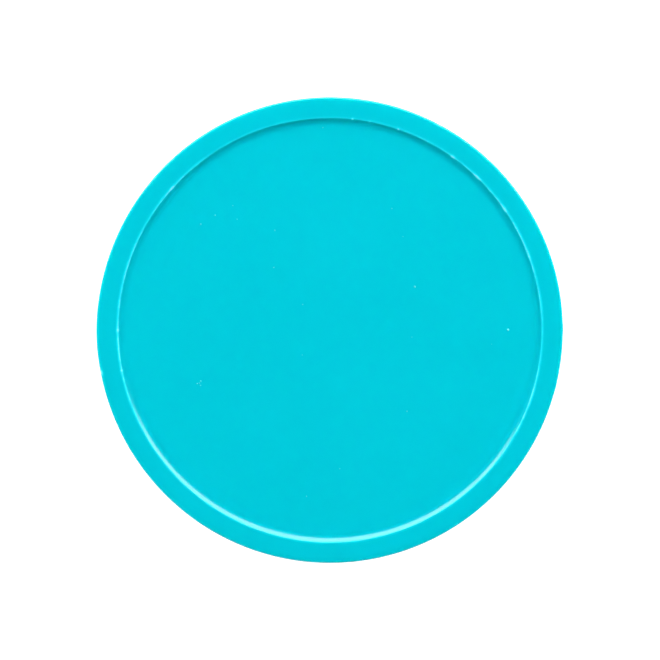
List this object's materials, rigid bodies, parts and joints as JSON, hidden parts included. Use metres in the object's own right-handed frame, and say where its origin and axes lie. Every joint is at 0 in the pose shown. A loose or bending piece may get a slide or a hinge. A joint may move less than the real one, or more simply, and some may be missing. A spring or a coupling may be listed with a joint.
{
  "type": "dealer button",
  "caption": "Round blank disc that marks the dealer's place at a card table, with a flat rim round a shallow recess on each face and a steel weight inside.",
  "frame": {"origin": "centre of the rear rim face, the plane that the button lies on", "axes": "+Z along the button's axis, out of the front face; +X runs through one of the front half's locating posts"},
  "size_m": [0.05, 0.05, 0.005],
  "materials": {
    "shell_plastic": "satin",
    "slug_steel": "satin"
  },
  "bodies": {
    "root": {"front_shell": "shell_plastic", "rear_shell": "shell_plastic", "weight_slug": "slug_steel"}
  },
  "joints": []
}
